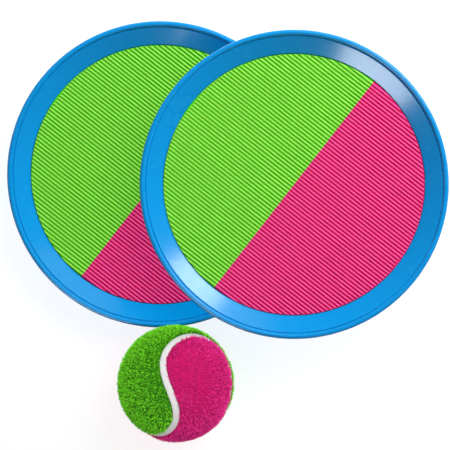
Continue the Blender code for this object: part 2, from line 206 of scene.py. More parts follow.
class CATCHSET_PG_ball(bpy.types.PropertyGroup):
    """Sizes and colours of the felt ball."""

    pile_length: length("Pile", "Length of a tuft", 0.0019)
    fibre: length("Fibre", "Radius of a fibre at its root", 0.00020)
    tuft_spacing: length("Tuft Spacing", "Least distance from tuft to tuft", 0.00112)
    tuft_lean: FloatProperty(
        name="Tuft Lean", description="How far a tuft may lean", default=0.45, subtype="ANGLE")
    felt_voxel: length("Felt Grain", "Size of the felt's mesh", 0.0010)
    green_tip: colour("Green Tip", "Green on the tips of the pile", (0.265, 0.960, 0.035))
    # Painted shade: the green root colour is far darker than the tip colour, standing in for the shade deep
    # in the pile
    green_root_shade: colour("Green Root", "Green at the roots of the pile", (0.002, 0.090, 0.001))
    pink_tip: colour("Pink Tip", "Pink on the tips of the pile", (1.000, 0.055, 0.410))
    # Painted shade: the pink root colour is darker than the tip colour, standing in for the shade deep in the
    # pile
    pink_root_shade: colour("Pink Root", "Pink at the roots of the pile", (0.470, 0.002, 0.092))
    seam: colour("Seam", "Colour of the rubber seam", (0.720, 0.705, 0.705))
    core: colour("Core", "Colour of the rubber core", (0.250, 0.250, 0.250))


class CATCHSET_PG_stage(bpy.types.PropertyGroup):
    """Camera, lamps and floor."""

    camera_distance: length("Camera Distance", "Height of the camera above the paddles", 2.40)
    floor_radius: length("Floor Radius", "Radius of the floor", 3.0)
    floor_drop: length("Floor Drop", "How far the floor lies below the paddles' rim", 0.0002)
    key: power("Key", "Power of the high lamp at the upper right", 4.0)
    fill: power("Fill", "Power of the soft fill on each paddle and on the floor", 30.0)
    ball_fill: power("Ball Fill", "Power of the soft fill on the ball", 23.5)
    near_box: power("Near Box", "Power of the low lamp at the lower left, which shows only in gloss", 12.5)
    far_box: power("Far Box", "Power of the low lamp at the upper right, which shows only in gloss", 6.6)
    sky: FloatProperty(name="Sky", description="Brightness overhead", default=0.25)


GROUPS = {
    "catchset_shell": CATCHSET_PG_shell,
    "catchset_hook": CATCHSET_PG_hook,
    "catchset_strap": CATCHSET_PG_strap,
    "catchset_ball": CATCHSET_PG_ball,
    "catchset_stage": CATCHSET_PG_stage,
}


class Wire:
    """A shader socket, on which arithmetic adds Math nodes."""

    def __init__(self, paint, socket):
        self.paint = paint
        self.socket = socket

    def __add__(self, other):
        return self.paint.math("ADD", self, other)

    def __radd__(self, other):
        return self.paint.math("ADD", other, self)

    def __sub__(self, other):
        return self.paint.math("SUBTRACT", self, other)

    def __rsub__(self, other):
        return self.paint.math("SUBTRACT", other, self)

    def __mul__(self, other):
        return self.paint.math("MULTIPLY", self, other)

    def __rmul__(self, other):
        return self.paint.math("MULTIPLY", other, self)


class Paint:
    """A node tree that is written as expressions."""

    def __init__(self, tree):
        self.tree = tree
        tree.nodes.clear()

    def add(self, kind, settings, sockets, output=0):
        """Add a node, set its settings, then its sockets, and return one of its outputs."""
        node = self.tree.nodes.new(kind)
        for key, value in settings.items():
            if key == "stops":
                self.set_stops(node.color_ramp, value)
            else:
                setattr(node, key, value)
        for key, value in sockets.items():
            if isinstance(value, Wire):
                self.tree.links.new(value.socket, node.inputs[key])
            else:
                node.inputs[key].default_value = value
        return Wire(self, node.outputs[output]) if len(node.outputs) else None

    @staticmethod
    def set_stops(ramp, stops):
        """Give a ramp its stops of place and colour."""
        while len(ramp.elements) < len(stops):
            ramp.elements.new(0.5)
        for element, (place, tone) in zip(ramp.elements, stops):
            element.position = place
            element.color = tone

    def math(self, operation, first, second):
        """A Math node on numbers."""
        return self.add("ShaderNodeMath", {"operation": operation}, {0: first, 1: second})

    def place(self):
        """Object coordinates."""
        return self.add("ShaderNodeTexCoord", {}, {}, "Object")

    def noise(self, size, detail=2.0):
        """Noise whose features have a size in metres."""
        sockets = {"Vector": self.place(), "Scale": 1 / size, "Detail": detail}
        return self.add("ShaderNodeTexNoise", {}, sockets, "Fac")

    def blend(self, factor, first, second):
        """Mix two colours."""
        return self.add("ShaderNodeMix", {"data_type": "RGBA"}, {0: factor, 6: first, 7: second}, 2)

    def axis(self, vector, name):
        """One axis of a vector."""
        return self.add("ShaderNodeSeparateXYZ", {}, {0: vector}, name)

    def height_map(self):
        """V of the UV map that add_height_map makes."""
        return self.axis(self.add("ShaderNodeUVMap", {"uv_map": "height"}, {}), "Y")

    def bump(self, height, distance):
        """A normal from a height between 0 and 1."""
        sockets = {"Height": height, "Distance": distance, "Strength": 1.0}
        return self.add("ShaderNodeBump", {}, sockets, "Normal")

    def surface(self, sockets):
        """A Principled surface, joined to the output."""
        shader = self.add("ShaderNodeBsdfPrincipled", {}, sockets)
        self.add("ShaderNodeOutputMaterial", {}, {"Surface": shader})


def rgba(tone, gain=1.0):
    """A colour property as four numbers."""
    return (tone[0] * gain, tone[1] * gain, tone[2] * gain, 1.0)


def new_paint(name):
    """A new material and its paint."""
    material = bpy.data.materials.new(name)
    material.use_nodes = True
    return material, Paint(material.node_tree)


def shell_plastic(settings):
    """Glossy blue moulded plastic, faintly cloudy, with a mould's slight waviness."""
    material, paint = new_paint("shell_plastic")
    paint.surface({
        "Base Color": paint.blend(paint.noise(0.035), rgba(settings.blue), rgba(settings.deep_blue)),
        "Roughness": 0.24 + 0.06 * paint.noise(0.012),
        "Specular IOR Level": 0.1,
        "Coat Weight": 1.0,
        "Coat Roughness": 0.19,
        "Coat IOR": 1.3,
        "Normal": paint.bump(paint.noise(0.0008, 3.0), 0.00001),
    })
    return material


def hook_plastic(name, ridge, valley_shade):
    """Satin hook sheet with painted shade: deeper in colour between the ribs and down the hooks' sides; the
    UV map's V is the height.
    """
    material, paint = new_paint(name)
    height = paint.height_map()
    patchy = paint.noise(0.0035)
    hooks = paint.noise(0.0010)
    # Painted shade: below about two thirds of a hook's height the colour is all the darker valley colour,
    # brightening to the ridge colour only at the tips
    tone = paint.blend(3.2 * height - 2.2, rgba(valley_shade), rgba(ridge))
    paint.surface({
        # Random patches lean further towards the darker valley colour of the painted shade
        "Base Color": paint.blend(0.10 * patchy + (0.6 * hooks - 0.25), tone, rgba(valley_shade)),
        "Roughness": 0.45 + 0.14 * paint.noise(0.0015),
        "Specular IOR Level": 0.2,
        "Normal": paint.bump(paint.noise(0.0004), 0.00002),
    })
    return material


def felt_cloth(name, tip, root):
    """Felt pile with painted shade: light at the tips and dark at the roots, in uneven tufts; the UV map's V
    runs up a fibre.
    """
    material, paint = new_paint(name)
    height = paint.height_map()
    tufts = paint.noise(0.0006, 1.0)
    areas = paint.noise(0.009)
    # Painted shade: the colour darkens from the tip colour to the root colour down each fibre, unevenly from
    # tuft to tuft
    tone = paint.blend(height * (0.40 + 1.5 * tufts), rgba(root), rgba(tip))
    paint.surface({
        "Base Color": paint.blend(0.25 * areas, tone, rgba(tip)),
        "Roughness": 0.9,
        "Specular IOR Level": 0.1,
    })
    return material


def seam_rubber(settings):
    """Off-white rubber seam, slightly uneven."""
    material, paint = new_paint("seam_rubber")
    paint.surface({
        "Base Color": paint.blend(paint.noise(0.004), rgba(settings.seam), rgba(settings.seam, 0.86)),
        "Roughness": 0.50 + 0.15 * paint.noise(0.002),
        "Normal": paint.bump(paint.noise(0.0009, 3.0), 0.00008),
    })
    return material


def strap_webbing(settings):
    """Plain weave of thick yarns, crossing like a chequer."""
    material, paint = new_paint("strap_webbing")
    place = paint.place()
    turns = math.pi / settings.thread
    warp = paint.math("SINE", paint.axis(place, "X") * turns, 0.0)
    weft = paint.math("SINE", paint.axis(place, "Y") * turns, 0.0)
    weave = 0.5 + 0.5 * (warp * weft)
    fuzz = paint.noise(0.0003, 3.0)
    tone = paint.blend(weave, rgba(settings.black, 0.55), rgba(settings.black, 1.8))
    paint.surface({
        "Base Color": tone,
        "Roughness": 0.78 + 0.15 * fuzz,
        "Sheen Weight": 0.2,
        "Normal": paint.bump(0.8 * weave + 0.2 * fuzz, 0.0003),
    })
    return material


def grip_cloth(settings):
    """Hook and loop patch: a fine tangle of loops."""
    material, paint = new_paint("grip_cloth")
    tangle = paint.noise(0.0006, 4.0)
    tone = paint.blend(tangle, rgba(settings.black, 0.5), rgba(settings.black, 2.2))
    paint.surface({
        "Base Color": tone,
        "Roughness": 0.9,
        "Sheen Weight": 0.3,
        "Normal": paint.bump(tangle, 0.0003),
    })
    return material


def plain_rubber(settings):
    """Grey rubber of the ball's core."""
    material, paint = new_paint("ball_rubber")
    tone = paint.blend(paint.noise(0.003), rgba(settings.core), rgba(settings.core, 0.8))
    paint.surface({"Base Color": tone, "Roughness": 0.7})
    return material


def sewing_thread(settings):
    """Twisted thread."""
    material, paint = new_paint("sewing_thread")
    twist = paint.noise(0.0003, 2.0)
    tone = paint.blend(twist, rgba(settings.thread_grey, 0.7), rgba(settings.thread_grey, 1.4))
    paint.surface({"Base Color": tone, "Roughness": 0.6, "Normal": paint.bump(twist, 0.0001)})
    return material


def object_mode():
    """Leave edit mode and deselect everything."""
    if bpy.context.mode != "OBJECT":
        bpy.ops.object.mode_set(mode="OBJECT")
    bpy.ops.object.select_all(action="DESELECT")


def activate(obj):
    """Select this object alone."""
    object_mode()
    obj.select_set(True)
    bpy.context.view_layer.objects.active = obj


def edit(obj):
    """Open this object in edit mode, with all of it selected."""
    activate(obj)
    bpy.ops.object.mode_set(mode="EDIT")
    bpy.ops.mesh.select_all(action="SELECT")


def face_outwards():
    """Turn all faces in edit mode outwards, and leave edit mode."""
    bpy.ops.mesh.select_all(action="SELECT")
    bpy.ops.mesh.normals_make_consistent(inside=False)
    object_mode()


def vertex_places(mesh):
    """The places of a mesh's vertices, one row each."""
    places = np.zeros(len(mesh.vertices) * 3, np.float32)
    mesh.vertices.foreach_get("co", places)
    return places.reshape(-1, 3)


def pick(obj, mode, flags):
    """Open this object in edit mode with the flagged vertices, edges or faces selected."""
    edit(obj)
    bpy.ops.mesh.select_mode(type=mode)
    bpy.ops.mesh.select_all(action="DESELECT")
    bpy.ops.object.mode_set(mode="OBJECT")
    parts = {"VERT": obj.data.vertices, "EDGE": obj.data.edges, "FACE": obj.data.polygons}[mode]
    parts.foreach_set("select", flags)
    bpy.ops.object.mode_set(mode="EDIT")


def apply_modifier(obj, kind, **settings):
    """Add a modifier, set it and apply it."""
    activate(obj)
    bpy.ops.object.modifier_add(type=kind)
    modifier = obj.modifiers[-1]
    for key, value in settings.items():
        setattr(modifier, key, value)
    bpy.ops.object.modifier_apply(modifier=modifier.name)


def box(size, centre):
    """A box primitive of a size about a centre, with its place and size in its mesh."""
    object_mode()
    bpy.ops.mesh.primitive_cube_add(size=1, location=centre)
    obj = bpy.context.active_object
    bpy.ops.transform.resize(value=size)
    bpy.ops.object.transform_apply()
    return obj


def cut(obj, tool, operation):
    """Join or cut with another body, then remove that body."""
    apply_modifier(obj, "BOOLEAN", operation=operation, object=tool, solver="EXACT")
    bpy.data.objects.remove(tool)


def smooth(obj, degrees):
    """Shade smooth, with sharp edges past an angle."""
    activate(obj)
    bpy.ops.object.shade_smooth_by_angle(angle=math.radians(degrees))


def twin(master, name):
    """A copy with its own mesh."""
    obj = master.copy()
    obj.data = master.data.copy()
    obj.name = name
    obj.data.name = name
    bpy.context.scene.collection.objects.link(obj)
    return obj


def copied(master, name, place):
    """A copy that is moved and turned to its place."""
    obj = twin(master, name)
    obj.matrix_world = place
    activate(obj)
    bpy.ops.object.transform_apply()
    return obj


def copied_node(node, name):
    """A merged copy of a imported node, as quads where its triangles allow."""
    obj = twin(cad(node), name)
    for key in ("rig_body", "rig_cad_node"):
        del obj[key]
    obj.parent = None
    edit(obj)
    bpy.ops.mesh.remove_doubles(threshold=0.00001)
    bpy.ops.mesh.tris_convert_to_quads(face_threshold=math.radians(40), shape_threshold=math.radians(60))
    object_mode()
    return obj


def finish_piece(obj, material, slot_name, *nodes):
    """Paint a piece, let it ride on the set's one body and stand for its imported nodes."""
    obj.data.materials.clear()
    obj.data.materials.append(material)
    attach(obj, "root")
    if nodes:
        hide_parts(*nodes)


# Fillets of the shell's section, in the order of its corners; 0 keeps a corner sharp
FRONT_FILLETS = (0.0, 0.0004, 0.0002)
BACK_FILLETS = (0.0005, 0.0, 0.0, 0.0005, 0.0008, 0.0020)
FILLET_STEPS = 3
BEAD_STEPS = 18
BEAD_START = math.radians(190)


def rounded(points, radii):
    """Points of a flat chain with its inner corners replaced by arcs; a radius of 0 keeps a corner."""
    chain = [points[0]]
    for before, corner, after, radius in zip(points, points[1:], points[2:], radii):
        back = (before - corner).normalized()
        ahead = (after - corner).normalized()
        if radius == 0:
            chain.append(corner)
            continue
        half = back.angle(ahead) / 2
        centre = corner + (back + ahead).normalized() * radius / math.sin(half)
        first = corner + back * radius / math.tan(half)
        last = corner + ahead * radius / math.tan(half)
        start = math.atan2(first.y - centre.y, first.x - centre.x)
        end = math.atan2(last.y - centre.y, last.x - centre.x)
        sweep = (end - start + math.pi) % (2 * math.pi) - math.pi
        for step in range(FILLET_STEPS + 1):
            angle = start + sweep * step / FILLET_STEPS
            chain.append(centre + radius * Vector((math.cos(angle), math.sin(angle))))
    chain.append(points[-1])
    return chain


def shell_section(shell):
    """Half section of a shell, from the axis over the front, down the skirt and back to the axis."""
    bead = Vector((shell.radius - shell.bead, shell.height - shell.bead))
    front = shell.height - shell.face_depth
    back = front - shell.plate
    band_top = Vector((bead.x - shell.bead - shell.groove, bead.y))
    band_foot = Vector((shell.face_radius, front + shell.band_foot))
    groove = Vector((band_top.x + shell.groove / 2, band_top.y - shell.groove_depth))
    foot_outer = shell.radius - shell.bead_stand_out - shell.draft
    foot_inner = foot_outer - shell.wall

    opening = [Vector((0, front)), Vector((shell.face_radius, front)), band_foot, band_top, groove]
    chain = rounded(opening, FRONT_FILLETS)
    bead_end = -math.acos(1 - shell.bead_stand_out / shell.bead)
    for step in range(BEAD_STEPS + 1):
        angle = BEAD_START + (bead_end - BEAD_START) * step / BEAD_STEPS
        chain.append(bead + shell.bead * Vector((math.cos(angle), math.sin(angle))))
    skirt_top = chain[-1]

    along = (band_top - band_foot).normalized()
    under_foot = band_foot + shell.wall * Vector((along.y, -along.x))
    rise = along.y / along.x
    foot_z = shell.rim_chamfer
    lean = (skirt_top.x - foot_outer) / (skirt_top.y - foot_z)
    top_r = (foot_inner + lean * (under_foot.y - rise * under_foot.x - foot_z)) / (1 - lean * rise)
    closing = [
        skirt_top,
        Vector((foot_outer, foot_z)),
        Vector((foot_outer - shell.rim_chamfer, 0)),
        Vector((foot_inner + shell.rim_chamfer, 0)),
        Vector((foot_inner, foot_z)),
        Vector((top_r, under_foot.y + rise * (top_r - under_foot.x))),
        Vector((under_foot.x + (back - under_foot.y) / rise, back)),
        Vector((0, back)),
    ]
    chain += rounded(closing, BACK_FILLETS)[1:]
    return with_holding_points(chain)


def with_holding_points(chain, long=0.003, margin=0.0003):
    """Points added near the ends of long straight runs, which keep smooth shading from bending them."""
    held = [chain[0]]
    for before, after in zip(chain, chain[1:]):
        run = after - before
        if run.length > long:
            near = run * (margin / run.length)
            held += [point for point in (before + near, after - near) if point.x > 2 * margin]
        held.append(after)
    return held


def lathe(section, steps):
    """Extrude one vertex along a section in the XZ plane, and spin it about Z into a closed body."""
    object_mode()
    bpy.ops.mesh.primitive_plane_add(size=0.01)
    obj = bpy.context.active_object
    bpy.ops.object.mode_set(mode="EDIT")
    bpy.ops.mesh.merge(type="CENTER")
    bpy.ops.transform.translate(value=(section[0].x, 0, section[0].y))
    for before, after in zip(section, section[1:]):
        step = (after.x - before.x, 0, after.y - before.y)
        bpy.ops.mesh.extrude_vertices_move(TRANSFORM_OT_translate={"value": step})
    bpy.ops.mesh.select_all(action="SELECT")
    bpy.ops.mesh.spin(steps=steps, angle=2 * math.pi, center=(0, 0, 0), axis=(0, 0, 1))
    bpy.ops.mesh.select_all(action="SELECT")
    bpy.ops.mesh.remove_doubles(threshold=0.000005)
    face_outwards()
    return obj


def own_extent(side, node):
    """Lowest and highest corner of a paddle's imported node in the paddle's own frame."""
    back = paddle_place(side).inverted()
    return extent([back @ vert.co for vert in cad(f"{side}_{node}").data.vertices])


class CATCHSET_OT_shells(bpy.types.Operator):
    """Model the two moulded shells: turned, then cut for the strap"""

    bl_idname = "catchset.shells"
    bl_label = "Paddle Shells"

    def execute(self, context):
        shell = context.scene.catchset_shell
        master = lathe(shell_section(shell), shell.steps)
        front = shell.height - shell.face_depth
        back = front - shell.plate
        strap_thickness = context.scene.catchset_strap.thickness
        low, high = own_extent("lower", "hand_strap")
        slot_at = high.x - strap_thickness / 2
        slot_width = strap_thickness + 2 * shell.slot_side_room
        slot_length = high.y - low.y + 2 * shell.slot_end_room
        reach = slot_at + slot_width / 2

        land_top = back + shell.plate / 2
        land_foot = back - shell.land
        size = (2 * (reach + shell.land_margin), slot_length + 2 * shell.land_margin, land_top - land_foot)
        pad = box(size, (0, 0, (land_top + land_foot) / 2))
        heights = [vert.co.z for vert in pad.data.vertices]
        upright = [abs(heights[edge.vertices[0]] - heights[edge.vertices[1]]) > shell.land
                   for edge in pad.data.edges]
        pick(pad, "EDGE", upright)
        bpy.ops.mesh.bevel(offset=shell.land_corner, segments=5)
        object_mode()
        cut(master, pad, "UNION")
        depth = strap_thickness + shell.channel_room
        cut(master, box((2 * reach, slot_length, 2 * depth), (0, 0, front)), "DIFFERENCE")
        for sign in (-1, 1):
            slot = box((slot_width, slot_length, shell.height), (sign * slot_at, 0, front))
            cut(master, slot, "DIFFERENCE")
        smooth(master, 32)
        plastic = shell_plastic(shell)
        for side in SIDES:
            piece = copied(master, f"{side}_moulded_shell", paddle_place(side))
            finish_piece(piece, plastic, "shell_plastic", f"{side}_paddle_shell")
        bpy.data.objects.remove(master)
        return {"FINISHED"}


# A hook's upright block as a share of its height. Then each step above it: its rise and its lean, as
# shares of the hook's height and length, and how it scales the top's width and length.
HOOK_BLOCK = 0.58
HOOK_STEPS = ((0.30, 0.10, 0.86, 1.10), (0.12, 0.05, 0.72, 0.80))


def hook_tooth(hook):
    """One moulded hook: a block whose top narrows and leans over along the rib."""
    block = HOOK_BLOCK * hook.tooth_height
    tooth = box((hook.tooth_length, hook.tooth_width, block), (0, 0, block / 2))
    pick(tooth, "FACE", [polygon.normal.z > 0.9 for polygon in tooth.data.polygons])
    for rise, shift, narrow, stretch in HOOK_STEPS:
        bpy.ops.mesh.extrude_region_move(TRANSFORM_OT_translate={
            "value": (shift * hook.tooth_length, 0, rise * hook.tooth_height)})
        bpy.ops.transform.resize(value=(stretch, narrow, 1))
    object_mode()
    return tooth


def add_height_map(obj, low, high):
    """A UV map whose V runs from 0 at a low height to 1 at a high one."""
    mesh = obj.data
    while mesh.uv_layers:
        mesh.uv_layers.remove(mesh.uv_layers[0])
    layer = mesh.uv_layers.new(name="height")
    corners = np.zeros(len(mesh.loops), np.int32)
    mesh.loops.foreach_get("vertex_index", corners)
    heights = np.clip((vertex_places(mesh)[:, 2] - low) / (high - low), 0, 1)[corners]
    pairs = np.stack([np.full(len(heights), 0.5, np.float32), heights.astype(np.float32)], 1)
    layer.data.foreach_set("uv", pairs.ravel())


def half_sheet(hook, radius, direction, steps):
    """Half disc of sheet, cut along the colour joint, on height 0."""
    object_mode()
    bpy.ops.mesh.primitive_circle_add(vertices=steps, radius=radius, fill_type="NGON")
    sheet = bpy.context.active_object
    bpy.ops.object.mode_set(mode="EDIT")
    bpy.ops.mesh.bisect(
        plane_co=(direction * hook.joint_gap / 2, 0, 0), plane_no=(direction, 0, 0), clear_inner=True)
    bpy.ops.mesh.select_all(action="SELECT")
    bpy.ops.mesh.extrude_region_move(TRANSFORM_OT_translate={"value": (0, 0, hook.base)})
    face_outwards()
    return sheet


def hook_rows(hook, radius, direction):
    """Rows of hooks over a half disc: one hook is arrayed, trimmed at the edge and deleted past it."""
    tooth = hook_tooth(hook)
    corners = len(tooth.data.vertices)
    rows = 2 * math.ceil(radius / hook.pitch)
    columns = math.floor(radius / hook.tooth_spacing)
    apply_modifier(tooth, "ARRAY", count=columns, use_relative_offset=False, use_constant_offset=True,
                   constant_offset_displace=(direction * hook.tooth_spacing, 0, 0))
    apply_modifier(tooth, "ARRAY", count=rows, use_relative_offset=False, use_constant_offset=True,
                   constant_offset_displace=(0, hook.pitch, 0))
    edit(tooth)
    start = direction * (hook.tooth_length / 2 + hook.joint_gap)
    bpy.ops.transform.translate(value=(start, hook.pitch * (0.5 - rows / 2), hook.base))
    object_mode()
    mesh = tooth.data
    places = vertex_places(mesh).reshape(-1, corners, 3)
    reach = np.hypot(places[:, :, 0], places[:, :, 1])
    past_edge = reach.min(1) > radius - hook.tooth_length / 4
    trimmed = places / np.stack([np.maximum(reach / radius, 1)] * 2 + [np.ones_like(reach)], 2)
    mesh.vertices.foreach_set("co", trimmed.ravel())
    pick(tooth, "VERT", np.repeat(past_edge, corners))
    bpy.ops.mesh.delete(type="VERT")
    object_mode()
    return tooth


class CATCHSET_OT_hook_faces(bpy.types.Operator):
    """Model the green and pink half discs of hook sheet, with a row of moulded hooks on each rib"""

    bl_idname = "catchset.hook_faces"
    bl_label = "Hook Faces"

    def execute(self, context):
        hook = context.scene.catchset_hook
        shell = context.scene.catchset_shell
        radius = shell.face_radius - hook.edge_gap
        base = shell.height - shell.face_depth + hook.lift
        # Each tone pairs its ridge colour with its darker valley colour, which is painted shade
        for tone, direction, ridge, valley_shade in (("green", -1, hook.green_ridge, hook.green_valley_shade),
                                               ("pink", 1, hook.pink_ridge, hook.pink_valley_shade)):
            material = hook_plastic(f"{tone}_hook_plastic", ridge, valley_shade)
            sheet = half_sheet(hook, radius, direction, shell.steps)
            rows = hook_rows(hook, radius - hook.row_inset, direction)
            activate(sheet)
            rows.select_set(True)
            bpy.ops.object.join()
            # This height map is the mask of the painted shade between the ribs
            add_height_map(sheet, hook.base, hook.base + hook.tooth_height)
            smooth(sheet, 30)
            settle = Matrix.Translation((0, 0, base)) @ Matrix.Rotation(hook.angle, 4, "Z")
            for side in SIDES:
                piece = copied(sheet, f"{side}_{tone}_hooks", paddle_place(side) @ settle)
                finish_piece(piece, material, f"{tone}_hook", f"{side}_{tone}_hook_sheet")
            bpy.data.objects.remove(sheet)
        return {"FINISHED"}


# A stitch's length as a share of the pitch, and its height as a share of its width
STITCH_SHARE = 0.72
STITCH_FLATNESS = 0.6


class CATCHSET_OT_straps(bpy.types.Operator):
    """Model the webbing straps, their grip patches and stitching"""

    bl_idname = "catchset.straps"
    bl_label = "Hand Straps"

    def execute(self, context):
        strap = context.scene.catchset_strap
        webbing = strap_webbing(strap)
        grip = grip_cloth(strap)
        thread = sewing_thread(strap)
        for side in SIDES:
            band = copied_node(f"{side}_hand_strap", f"{side}_webbing_strap")
            apply_modifier(band, "BEVEL", width=strap.edge, segments=3, limit_method="ANGLE",
                           angle_limit=math.radians(60))
            smooth(band, 40)
            finish_piece(band, webbing, "strap_webbing", f"{side}_hand_strap")
            for kind in ("hook", "loop"):
                patch = copied_node(f"{side}_strap_{kind}_patch", f"{side}_{kind}_grip")
                apply_modifier(patch, "BEVEL", width=strap.patch_edge, segments=2, limit_method="ANGLE",
                               angle_limit=math.radians(50))
                smooth(patch, 40)
                finish_piece(patch, grip, "grip_patch", f"{side}_strap_{kind}_patch")
            finish_piece(self.stitching(strap, side), thread, "strap_webbing")
        return {"FINISHED"}

    @staticmethod
    def stitching(strap, side):
        """Stitches round the patch, on the outer tail's lower face."""
        place = paddle_place(side)
        right, far, _ = own_extent(side, "strap_hook_patch")[1] - Vector((1, 1, 0)) * strap.stitch_inset
        low = own_extent(side, "hand_strap")[0].z
        corners = [Vector(corner) for corner in (
            (-right, -far, low), (right, -far, low), (right, far, low), (-right, far, low))]
        stretch = STITCH_SHARE * strap.stitch_pitch / strap.stitch_thickness
        pieces = []
        for start, end in zip(corners, corners[1:] + corners[:1]):
            count = max(2, round((end - start).length / strap.stitch_pitch))
            for index in range(count):
                middle = start.lerp(end, (index + 0.5) / count)
                object_mode()
                bpy.ops.mesh.primitive_uv_sphere_add(
                    segments=8, ring_count=6, radius=strap.stitch_thickness / 2)
                stitch = bpy.context.active_object
                bpy.ops.transform.resize(value=(stretch, 1, STITCH_FLATNESS))
                angle = math.atan2(end.y - start.y, end.x - start.x)
                bpy.ops.object.transform_apply(location=False, rotation=False, scale=True)
                stitch.matrix_world = place @ Matrix.Translation(middle) @ Matrix.Rotation(angle, 4, "Z")
                bpy.ops.object.transform_apply()
                pieces.append(stitch)
        object_mode()
        for piece in pieces:
            piece.select_set(True)
        bpy.context.view_layer.objects.active = pieces[0]
        bpy.ops.object.join()
        sewn = bpy.context.active_object
        sewn.name = f"{side}_strap_stitching"
        smooth(sewn, 60)
        return sewn


TUFT_KINDS = 5
TUFTS_PER_SQUARE_METRE = 2.6e6
SMALLEST_TUFT, LARGEST_TUFT = 0.78, 1.12
FIBRES = 5
# Where a fibre bends and how much it has narrowed there, as shares of its height and radius
FIBRE_BEND = 0.55
FIBRE_NARROWING = 0.85


def tuft(ball, seed):
    """A tuft of a few curved, pointed fibres that lean together."""
    rng = np.random.default_rng(seed)
    object_mode()
    bpy.ops.mesh.primitive_circle_add(vertices=3, radius=ball.fibre, fill_type="NGON")
    obj = bpy.context.active_object
    bpy.ops.object.mode_set(mode="EDIT")
    bpy.ops.mesh.delete(type="VERT")
    for fibre in range(FIBRES):
        angle = 2 * math.pi * fibre / FIBRES + rng.uniform(-0.4, 0.4)
        root = Vector((math.cos(angle), math.sin(angle), 0)) * rng.uniform(0.25, 0.55) * ball.tuft_spacing
        bpy.ops.mesh.primitive_circle_add(vertices=3, radius=ball.fibre, fill_type="NGON", location=root)
        reach = ball.pile_length * rng.uniform(0.75, 1.1)
        lean = Vector((rng.uniform(-0.35, 0.35), rng.uniform(-0.35, 0.35), 0)) * ball.pile_length
        middle = 0.3 * lean - 0.22 * root
        rest = lean - rng.uniform(0.2, 0.7) * root - middle
        bpy.ops.mesh.extrude_region_move(TRANSFORM_OT_translate={
            "value": (middle.x, middle.y, FIBRE_BEND * reach)})
        bpy.ops.transform.resize(value=[FIBRE_NARROWING] * 3)
        bpy.ops.mesh.extrude_region_move(TRANSFORM_OT_translate={
            "value": (rest.x, rest.y, (1 - FIBRE_BEND) * reach)})
        bpy.ops.mesh.merge(type="CENTER")
    face_outwards()
    # This height map is the mask of the painted shade at the pile's roots
    add_height_map(obj, 0.0, ball.pile_length)
    return obj


def scatter_tree(tufts, ball, seed):
    """Geometry nodes that set tufts on a felt's outer faces, leaning at random."""
    tree = bpy.data.node_groups.new("pile", "GeometryNodeTree")
    tree.interface.new_socket("Geometry", in_out="INPUT", socket_type="NodeSocketGeometry")
    tree.interface.new_socket("Geometry", in_out="OUTPUT", socket_type="NodeSocketGeometry")

    def node(kind, settings=None, values=None):
        made = tree.nodes.new(kind)
        for key, value in (settings or {}).items():
            setattr(made, key, value)
        for key, value in (values or {}).items():
            made.inputs[key].default_value = value
        return made

    start = node("NodeGroupInput")
    end = node("NodeGroupOutput")
    outer = node("GeometryNodeInputNamedAttribute", {"data_type": "FLOAT"}, {"Name": "outer"})
    spread = node("GeometryNodeDistributePointsOnFaces", {"distribute_method": "POISSON"}, {
        "Distance Min": ball.tuft_spacing, "Density Max": TUFTS_PER_SQUARE_METRE, "Seed": seed})
    choice = node("GeometryNodeCollectionInfo", {"transform_space": "ORIGINAL"}, {
        "Collection": tufts, "Separate Children": True, "Reset Children": True})
    lean = node("FunctionNodeRandomValue", {"data_type": "FLOAT_VECTOR"}, {
        0: (-ball.tuft_lean, -ball.tuft_lean, 0.0),
        1: (ball.tuft_lean, ball.tuft_lean, 2 * math.pi), "Seed": seed + 1})
    turn = node("FunctionNodeRotateRotation", {"rotation_space": "LOCAL"})
    size = node("FunctionNodeRandomValue", {"data_type": "FLOAT"}, {
        2: SMALLEST_TUFT, 3: LARGEST_TUFT, "Seed": seed + 2})
    place = node("GeometryNodeInstanceOnPoints", None, {"Pick Instance": True})
    real = node("GeometryNodeRealizeInstances")
    for source, output, target, socket in (
        (start, 0, spread, "Mesh"),
        (outer, 0, spread, "Density Factor"),
        (spread, "Points", place, "Points"),
        (choice, 0, place, "Instance"),
        (spread, "Rotation", turn, 0),
        (lean, 0, turn, 1),
        (turn, 0, place, "Rotation"),
        (size, 1, place, "Scale"),
        (place, 0, real, 0),
        (real, 0, end, 0),
    ):
        tree.links.new(source.outputs[output], target.inputs[socket])
    return tree


